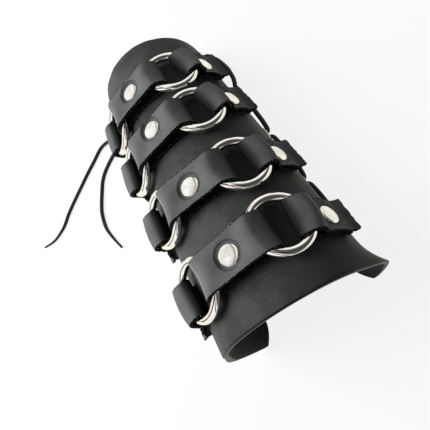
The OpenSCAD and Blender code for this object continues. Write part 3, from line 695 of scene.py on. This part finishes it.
for row in (1, 2, 3, 4):
    y, turn = ROW_Y[row], radians(ROW_TURN[row])
    plane = spot(turn, y)
    hub = spot(turn, y + RIVET_OFF[row])

    def strap_level(w, outer):
        return STRAP_MID + STRAP_CUP * (2 * abs(w) / STRAP_W) ** 1.5 - (0 if outer else STRAP_T)

    def strap_half(side, w, outer):
        slant = side * radians(ROW_SLANT[row])

        def level_at(k):
            dx, dy = slew(side, k, w, slant)
            return plane @ Vector((dx, dy, strap_level(w, outer)))

        under = [on_band(side, turn, y, HALF_SLIT + (LOW_END - HALF_SLIT) * k / 11, w, slant,
                         LAY if outer else LAY + STRAP_T - PLY_GAP) for k in range(12)]
        bend = fold(side, row, -1, w, slant, STRAP_W, outer)
        turned = radians(38 - 4 * (2 * abs(w) / STRAP_W) ** 1.5 - RING_LEAN[side])
        wrap, ahead = over_wire(side, row, w, slant, turned, outer)
        last, first = level_at(LEVEL_HALF), wrap[-1]
        span = (last - first).length
        pull = (level_at(LEVEL_HALF + 0.001) - last).normalized()
        drop = bend_line(first, first + 0.4 * span * ahead, last + 0.3 * span * pull, last, 14)
        level = [level_at(LEVEL_HALF * k / 7) for k in range(6, 0, -1)]
        # Only the left end, on the lamp's side, gets the pale crease: partly wear, partly a painted
        # highlight. Both ends get painted shade inside the fold.
        worn = 0.0 if side > 0 else 1.0
        return [(p, False, 0.0) for p in under] \
            + [(p, False, worn * pale - 0.55 * fold_shade) for p, pale, fold_shade in bend] \
            + [(p, True, 0.0) for p in wrap + drop + level]

    def strap_column(w, outer):
        middle = plane @ Vector((0, w, strap_level(w, outer)))
        return strap_half(1, w, outer) + [(middle, True, 0.0)] + list(reversed(strap_half(-1, w, outer)))

    def strap_puff(x, w, r):
        height = strap_level(w, True)
        return (seat(y) + CAP_RISE - height) * (1 - smooth_step((r - DISH_R) / DISH_EDGE))

    piece = band(f"centre_strap_{row}_leather", sheet(strap_column, STRAP_W, hub, True, strap_puff),
                 sheet(strap_column, STRAP_W, hub, False, strap_puff), row * 7.3)
    for finish in strap_finishes:
        piece.data.materials.append(finish)
    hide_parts(f"centre_strap_{row}")
    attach(piece, "cuff")


# Side tabs: the same leather, folded round the outer side of each ring and riveted to the
# cuff. Past the rivet the two layers part, the upper one a little longer.
TAB_W = 0.0164
TAB_REACH = {1: 0.020, 2: 0.020, 3: 0.020, 4: 0.022}
TAB_SLANT = {1: 10.0, 2: 10.5, 3: 2.0, 4: -7.5}
TAB_TAIL = 0.010
TAIL_EXTRA = 0.0014
TAIL_RISE = 0.0024
TAIL_PARTING = 0.0005
LOW_START = 0.011


def fall(side, row, w, slant, pull, c, d, z):
    """From the crest of a fold down to the rivet."""
    q = crest(w)
    return bend_line(by_ring(side, row, q, w, slant, z), by_ring(side, row, q + pull, w, slant, z), c, d, 18)


def tab_rivet_y(side, row):
    return ring_y(side, row) + TAB_REACH[row] * sin(radians(TAB_SLANT[row]))


def tab_rivet(side, row):
    along = TAB_REACH[row] * cos(radians(TAB_SLANT[row]))
    return spot(ring_t(side, row) + side * arc(along, ring_y(side, row)), tab_rivet_y(side, row))


for side, side_name in SIDES:
    for row in (1, 2, 3, 4):
        slant, reach = radians(TAB_SLANT[row]), TAB_REACH[row]
        hub = tab_rivet(side, row)

        def tab_column(w, outer):
            h = STACK if outer else LAY + STRAP_T + 0.00002
            under_h = LAY if outer else LAY + STRAP_T - PLY_GAP

            def on(s, height):
                return on_band(side, ring_t(side, row), ring_y(side, row), s, w, slant, height)

            def seated(s):
                if not outer:
                    return on(reach + s, h)
                dx, dy = slew(side, s, w, slant)
                return hub @ Vector((dx, dy, seat(tab_rivet_y(side, row)) - 0.00001))

            def past_rivet(s):
                return (max(0.0, s - reach - PINCH) / (TAB_TAIL - PINCH)) ** 2

            low_tail = TAB_TAIL - TAIL_EXTRA
            tail = [reach + low_tail + (PINCH - low_tail) * k / 9 for k in range(10)]
            lie = [reach + PINCH + (LOW_START - reach - PINCH) * k / 16 for k in range(1, 17)]
            under = [on(s, under_h + TAIL_RISE * past_rivet(s)) for s in tail + lie]
            bend = fold(side, row, 1, w, slant, TAB_W, outer)
            drop = fall(side, row, w, slant, 0.005 if outer else 0.0034,
                        on(reach - PINCH - (0.0009 if outer else 0.0012), h), seated(-PINCH),
                        FOLD_TOP if outer else BORE)
            level = [seated(PINCH * k / 5) for k in range(-4, 6)]
            end = [on(s, h + (TAIL_RISE + TAIL_PARTING) * past_rivet(s))
                   for s in [reach + PINCH + (TAB_TAIL - PINCH) * k / 10 for k in range(1, 11)]]
            # The tab's fold gets painted shade inside it, and no pale crease.
            return [(p, False, 0.0) for p in under] \
                + [(p, k > 21, -fold_shade) for k, (p, pale, fold_shade) in enumerate(bend)] \
                + [(p, True, 0.0) for p in drop + level + end]

        def tab_puff(x, w, r):
            fade = cos(min(1.0, abs(x) / 0.0095) * pi / 2) ** 2
            edge = 0.0009 * (abs(w) / (TAB_W / 2)) ** 2 * smooth_step((r - 0.0049) / 0.004)
            return fade * (edge + 0.00025 * smooth_step((r - 0.0055) / 0.0008))

        piece = band(f"{side_name}_tab_{row}_leather", sheet(tab_column, TAB_W, hub, True, tab_puff),
                     sheet(tab_column, TAB_W, hub, False, tab_puff), row * 5.1 + side)
        for finish in strap_finishes:
            piece.data.materials.append(finish)
        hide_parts(f"{side_name}_tab_{row}")
        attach(piece, f"{side_name}_side")


# Rings: steel wire of about 4 mm bent to 28 mm rings, butt welded, then polished and nickel
# plated. The weld stays visible as a low collar on the wire.
def metal_finishes():
    """Polished nickel plate for the rings, and the softer shine of the set caps and eyelets."""
    ring, tree, shader = finish_of("polished_plate", Metallic=1.0)
    place = object_place(tree)
    faint = noisy(tree, place, 170.0, 3.0, 0.6)
    tree.links.new(two_tone(tree, faint, (0.91, 0.885, 0.84), (0.95, 0.93, 0.89)),
                   shader.inputs["Base Color"])
    scuffs = band_mask(tree, noisy(tree, place, 900.0, 4.0, 0.65), 0.52, 0.8)
    tree.links.new(maths(tree, "MULTIPLY_ADD", scuffs, 0.05, 0.012), shader.inputs["Roughness"])
    bumped(tree, shader, faint, 0.0003, 0.08)
    cap, tree, shader = finish_of("nickel_caps", Metallic=1.0)
    place = object_place(tree)
    cloud = band_mask(tree, noisy(tree, place, 240.0, 3.0, 0.55), 0.34, 0.64)
    tree.links.new(two_tone(tree, cloud, (0.82, 0.80, 0.745), (0.98, 0.962, 0.91)),
                   shader.inputs["Base Color"])
    tree.links.new(maths(tree, "MULTIPLY_ADD", cloud, -0.12, 0.30), shader.inputs["Roughness"])
    bumped(tree, shader, noisy(tree, place, 300.0, 2.0, 0.5), 0.0006, 0.24)
    return ring, cap


polished_plate, nickel_caps = metal_finishes()
# Where each ring's weld is, in degrees from its right side.
WELD = {(1, 1): 200, (1, 2): 250, (1, 3): 262, (1, 4): 285,
        (-1, 1): 60, (-1, 2): 100, (-1, 3): 20, (-1, 4): 330}
COLLAR, COLLAR_WIDE = 0.035, 0.05
SEAM, SEAM_WIDE = 0.05, 0.014
for side, side_name in SIDES:
    for row in (1, 2, 3, 4):
        bm = bmesh.new()
        upright = Matrix.Translation((RING_R, 0, 0)) @ Matrix.Rotation(pi / 2, 4, "X")
        wire = bmesh.ops.create_circle(bm, segments=28, radius=WIRE_R, matrix=upright)["verts"]
        bmesh.ops.spin(bm, geom=wire + list({e for v in wire for e in v.link_edges}), cent=(0, 0, 0),
                       axis=(0, 0, 1), angle=2 * pi, steps=144, use_merge=True)
        bmesh.ops.remove_doubles(bm, verts=bm.verts, dist=1e-6)
        weld = radians(WELD[(side, row)])
        for v in bm.verts:
            around = atan2(v.co.y, v.co.x)
            off = (around - weld + pi) % (2 * pi) - pi
            core = Vector((cos(around), sin(around), 0)) * RING_R
            grow = 1 + COLLAR * exp(-(off / COLLAR_WIDE) ** 2) - SEAM * exp(-(off / SEAM_WIDE) ** 2)
            v.co = core + (v.co - core) * grow
        bmesh.ops.recalc_face_normals(bm, faces=bm.faces)
        for face in bm.faces:
            face.smooth = True
        bmesh.ops.transform(bm, matrix=ring_spot(side, row), verts=bm.verts)
        piece = new_piece(f"{side_name}_ring_{row}_wire", bm)
        piece.data.materials.append(polished_plate)
        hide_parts(f"{side_name}_ring_{row}")
        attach(piece, f"{side_name}_ring_{row}")


# Rivets: double-cap rivets. The nickel caps are low domes with a rolled rim, each a little
# dented by the setting tool. The posts are the CAD's own, in the same finish.
CAP_R = 0.0046
CAP_PROFILE = [(0.0, 0.00112), (0.0012, 0.00112), (0.0024, 0.00106), (0.0033, 0.00096), (0.0040, 0.00080),
               (0.00442, 0.00058), (CAP_R, 0.00030), (0.00458, 0.00012), (0.0044, 0.0), (0.0040, 0.00002)]


def lathed(profile, closed, steps):
    """A profile of radius and height, turned round an upright axis."""
    bm = bmesh.new()
    verts = [bm.verts.new((x, 0, z)) for x, z in profile]
    edges = [bm.edges.new(pair) for pair in zip(verts, verts[1:] + verts[:1] * closed)]
    bmesh.ops.spin(bm, geom=verts + edges, cent=(0, 0, 0), axis=(0, 0, 1), angle=2 * pi, steps=steps,
                   use_merge=True)
    bmesh.ops.remove_doubles(bm, verts=bm.verts, dist=1e-6)
    return bm


def join_into(bm, part):
    """Adds a finished part to the piece that is being made."""
    mesh = bpy.data.meshes.new("part")
    part.to_mesh(mesh)
    part.free()
    bm.from_mesh(mesh)
    bpy.data.meshes.remove(mesh)


def centre_rivet_y(row):
    return ROW_Y[row] + RIVET_OFF[row]


rows = (1, 2, 3, 4)
groups = (("centre", "cuff", [(spot(radians(ROW_TURN[r]), centre_rivet_y(r)), centre_rivet_y(r), r)
                              for r in rows]),
          ("right", "right_side", [(tab_rivet(1, r), tab_rivet_y(1, r), r + 4) for r in rows]),
          ("left", "left_side", [(tab_rivet(-1, r), tab_rivet_y(-1, r), r + 8) for r in rows]))
for group, body, places in groups:
    bm = bmesh.new()
    for place, y, seed in places:
        cap = lathed(CAP_PROFILE, False, 64)
        rim = [e for e in cap.edges if len(e.link_faces) == 1]
        bmesh.ops.contextual_create(cap, geom=rim)
        bmesh.ops.subdivide_edges(cap, edges=[e for e in cap.edges if e.calc_length() > 0.0007], cuts=1,
                                  use_grid_fill=True)
        for v in cap.verts:
            if v.co.z > 0.0005:
                v.co.z += 0.00007 * noise.noise(Vector((v.co.x * 420, v.co.y * 420, seed * 3.7)))
        bmesh.ops.recalc_face_normals(cap, faces=cap.faces)
        shift = Matrix.Translation((0, 0, seat(y) + (CAP_RISE if group == "centre" else 0)))
        bmesh.ops.transform(cap, matrix=place @ shift, verts=cap.verts)
        join_into(bm, cap)
    for face in bm.faces:
        face.smooth = True
    piece = new_piece(f"{group}_rivet_domes", bm)
    piece.data.materials.append(nickel_caps)
    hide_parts(f"{group}_rivet_caps")
    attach(piece, body)
    post = bpy.data.objects[f"{group}_rivet_posts"]
    post.data.materials.clear()
    post.data.materials.append(nickel_caps)


# Eyelets: nickel-plated eyelets pressed into both free edges, five a side, with rolled
# flanges outside and skirts rolled over inside.
EYELET_PROFILE = [(0.0029, -0.0030), (0.0029, 0.0001), (0.0031, 0.00055), (0.0036, 0.0008),
                  (0.0043, 0.00062), (0.0047, 0.0003), (0.0048, 0.00008), (0.0046, 0.00003),
                  (0.0034, 0.00003), (0.0034, -0.0028), (0.0042, -0.00292), (0.0044, -0.0031),
                  (0.0042, -0.0034), (0.0034, -0.0035), (0.0030, -0.0033)]
for side, side_name in SIDES:
    bm = bmesh.new()
    for y in EYELET_Y:
        tube = lathed(EYELET_PROFILE, True, 48)
        bmesh.ops.recalc_face_normals(tube, faces=tube.faces)
        bmesh.ops.transform(tube, matrix=eyelet_spot(side, y), verts=tube.verts)
        join_into(bm, tube)
    for face in bm.faces:
        face.smooth = True
    piece = new_piece(f"{side_name}_eyelet_rims", bm)
    piece.data.materials.append(nickel_caps)
    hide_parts(f"{side_name}_eyelets")
    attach(piece, f"{side_name}_side")


# Lacing: one thong drawn through all ten eyelets. It crosses inside the cuff from edge to edge at each pair
# of eyelets, runs outside from one pair to the next, and ends in a hitch at the left wrist eyelet. It is cut
# where it crosses the middle, and the parts right and left of the middle make two pieces.
EYELET_T = 0.0005
OVER = 0.0006 + EYELET_T + LACE_D / 2
UNDER = -CUFF_T - 0.0009 - EYELET_T - LACE_D / 2
PASS_GAP = 0.00145


def outward(t, y):
    return Vector(((mean_r(y) + OVAL) * sin(t), 0, (mean_r(y) - OVAL) * cos(t))).normalized()


def lace_at(side, j, k, h):
    """The thong at eyelet j, h over the leather; k sets two passes side by side."""
    y = EYELET_Y[j - 1]
    t = eyelet_t(y)
    place, axis = over_face(t, y, 0), outward(t, y)
    lift = h * cos(SLOPE) - k * PASS_GAP * sin(SLOPE)
    return Vector((side * (place.x + axis.x * lift), y + h * sin(SLOPE) + k * PASS_GAP * cos(SLOPE),
                   place.z + axis.z * lift))


def rung(side, j, k0, k1, sag):
    """In through one eyelet, across under the opening, and out through its partner."""
    a, b = lace_at(side, j, k0, UNDER), lace_at(-side, j, k1, UNDER)
    low = Vector((0, 0, sag))
    return [lace_at(side, j, k0, OVER), a, a.lerp(b, 0.16) - low, a.lerp(b, 0.5) - 1.1 * low,
            a.lerp(b, 0.84) - low, b, lace_at(-side, j, k1, OVER)]


def bow(side, j0, j1, h):
    """Along the outside from one eyelet to the next, standing h off the leather."""
    out = []
    for u in (0.25, 0.5, 0.75):
        y = EYELET_Y[j0 - 1] + (EYELET_Y[j1 - 1] - EYELET_Y[j0 - 1]) * u
        p = over_face(eyelet_t(y), y, h if u == 0.5 else OVER + (h - OVER) * 0.75)
        out.append(Vector((side * p.x, y, p.z)))
    return out


def hitch(a, h):
    """Round the standing part of the thong at the left wrist eyelet."""
    n = outward(eyelet_t(EYELET_Y[0]), EYELET_Y[0])
    turned = Vector((0, cos(a), 0)) + sin(a) * Vector((-n.z, 0, -n.x))
    return lace_at(-1, 1, 0, h) + (LACE_D + 0.0003) * turned


BOW_1, BOW_2, FLAT_SAG, DEEP_SAG = 0.0067, 0.0034, 0.0004, 0.0044
lace_route = ([lace_at(-1, 1, 0, OVER + LACE_D * 2.1)] + rung(-1, 1, 0, 0, FLAT_SAG) + bow(1, 1, 2, BOW_1)
              + rung(1, 2, 1, -1, FLAT_SAG) + bow(-1, 2, 3, BOW_2) + rung(-1, 3, 1, -1, DEEP_SAG)
              + bow(1, 3, 4, BOW_2) + rung(1, 4, 1, -1, FLAT_SAG) + bow(-1, 4, 5, BOW_2)
              + rung(-1, 5, 0, 0, FLAT_SAG) + bow(1, 5, 4, BOW_2) + rung(1, 4, -1, 1, DEEP_SAG)
              + bow(-1, 4, 3, BOW_2) + rung(-1, 3, -1, 1, FLAT_SAG) + bow(1, 3, 2, BOW_2)
              + rung(1, 2, -1, 1, DEEP_SAG) + bow(-1, 2, 1, BOW_2)
              + [hitch(radians(-180 - 45 * k), OVER + (LACE_D + 0.00025) * 1.25 * k / 10) for k in range(11)])


def eased(points, cut, n):
    """The route with each corner rounded off."""
    out = [points[0]]
    for a, p, b in zip(points, points[1:], points[2:]):
        start = p + (a - p).normalized() * min(cut, 0.46 * (a - p).length)
        end = p + (b - p).normalized() * min(cut, 0.46 * (b - p).length)
        out += [start.lerp(p, m / n).lerp(p.lerp(end, m / n), m / n) for m in range(n + 1)]
    return out + [points[-1]]


lace_line = [STAND @ p for p in eased(lace_route, 0.0024, 4)]
runs = [[lace_line[0]]]
for p in lace_line[1:]:
    q = runs[-1][-1]
    if (q.x < 0) != (p.x < 0):
        cut = q.lerp(p, q.x / (q.x - p.x))
        runs[-1].append(cut)
        runs.append([cut])
    runs[-1].append(p)
for side, side_name in SIDES:
    bm = bmesh.new()
    for run in runs:
        if sum(p.x for p in run) * side > 0:
            join_into(bm, lace_tube(run, [LACE_D] * len(run)))
    piece = new_piece(f"lacing_{side_name}_thong", bm)
    piece.data.materials.append(waxed_thong)
    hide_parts("lacing")
    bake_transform(piece)


# Studio: a white table, one large soft lamp over the left of the wrist end, and a white room.
# The room is darker on the right, and two thin dark strips round it, with brown borders, draw
# the fine lines in the polished metal.
TABLE_GLOW = 0.86
ROOM_LIGHT = 0.18
bm = bmesh.new()
bmesh.ops.create_grid(bm, x_segments=1, y_segments=1, size=3.0)
table = new_piece("table", bm)
white_table, tree, shader = finish_of("white_table", Roughness=0.9, Specular_IOR_Level=0.1)
shader.inputs["Base Color"].default_value = (0.86, 0.86, 0.86, 1)
seen = tree.nodes.new("ShaderNodeLightPath").outputs
shine = two_tone(tree, seen["Is Camera Ray"], (1.0, 0.975, 0.90), (1.0, 1.0, 1.0))
glow = add(tree, "ShaderNodeEmission", {"Color": shine, "Strength": 1.0})
mirror = maths(tree, "MAXIMUM", seen["Is Camera Ray"], seen["Is Glossy Ray"])
share = maths(tree, "MULTIPLY", mirror, TABLE_GLOW)
both = add(tree, "ShaderNodeMixShader", {0: share, 1: shader.outputs[0], 2: glow.outputs[0]})
tree.links.new(both.outputs[0], tree.nodes["Material Output"].inputs["Surface"])
table.data.materials.append(white_table)

room = bpy.data.worlds.new("room")
bpy.context.scene.world = room
room.use_nodes = True
tree = room.node_tree
toward = add(tree, "ShaderNodeTexCoord", {}).outputs["Generated"]


def facing(axis):
    """How squarely a direction in the room points along the axis."""
    return add(tree, "ShaderNodeVectorMath", {0: toward, 1: axis}, operation="DOT_PRODUCT").outputs["Value"]


def off_strip(axis, half, soft, border, border_soft):
    """Masks that are 0 on the strip round the room across an axis, and on the strip's border."""
    aside = maths(tree, "ABSOLUTE", facing(axis))
    return band_mask(tree, aside, half, soft), band_mask(tree, aside, border, border_soft)


dim_right = maths(tree, "MULTIPLY_ADD", band_mask(tree, facing((0.86, -0.45, 0.25)), 0.42, 0.66), -0.90, 1.0)
off_lengthwise, plain_lengthwise = off_strip((0.10, 0.93, 0.35), 0.07, 0.085, 0.10, 0.16)
off_crosswise, plain_crosswise = off_strip((0.97, -0.20, 0.13), 0.05, 0.06, 0.075, 0.12)
plain = maths(tree, "MULTIPLY", plain_lengthwise, plain_crosswise)
tone = two_tone(tree, maths(tree, "MULTIPLY", off_lengthwise, off_crosswise), (0.01, 0.01, 0.01),
                two_tone(tree, plain, (0.36, 0.21, 0.14), (1.0, 1.0, 1.0)))
seen = tree.nodes.new("ShaderNodeLightPath").outputs
shade = add(tree, "ShaderNodeMix", {"Factor": 1.0}, data_type="RGBA", blend_type="MULTIPLY")
tree.links.new(tone, shade.inputs[6])
tree.links.new(dim_right, shade.inputs[7])
lit = two_tone(tree, seen["Is Camera Ray"], shade.outputs[2], (1.0, 1.0, 1.0))
mirror = maths(tree, "MAXIMUM", seen["Is Camera Ray"], seen["Is Glossy Ray"])
level = maths(tree, "MULTIPLY_ADD", mirror, 1 - ROOM_LIGHT, ROOM_LIGHT)
tree.links.new(lit, tree.nodes["Background"].inputs["Color"])
tree.links.new(level, tree.nodes["Background"].inputs["Strength"])

lamp_data = bpy.data.lights.new("soft_lamp", "AREA")
lamp_data.energy = 5.7
lamp_data.size = 0.42
lamp = bpy.data.objects.new("soft_lamp", lamp_data)
lamp.location = (-0.35, 0.22, 0.45)
lamp.rotation_euler = (Vector((0, 0, 0.04)) - lamp.location).to_track_quat("-Z", "Y").to_euler()
lamp.visible_glossy = False
bpy.context.scene.collection.objects.link(lamp)
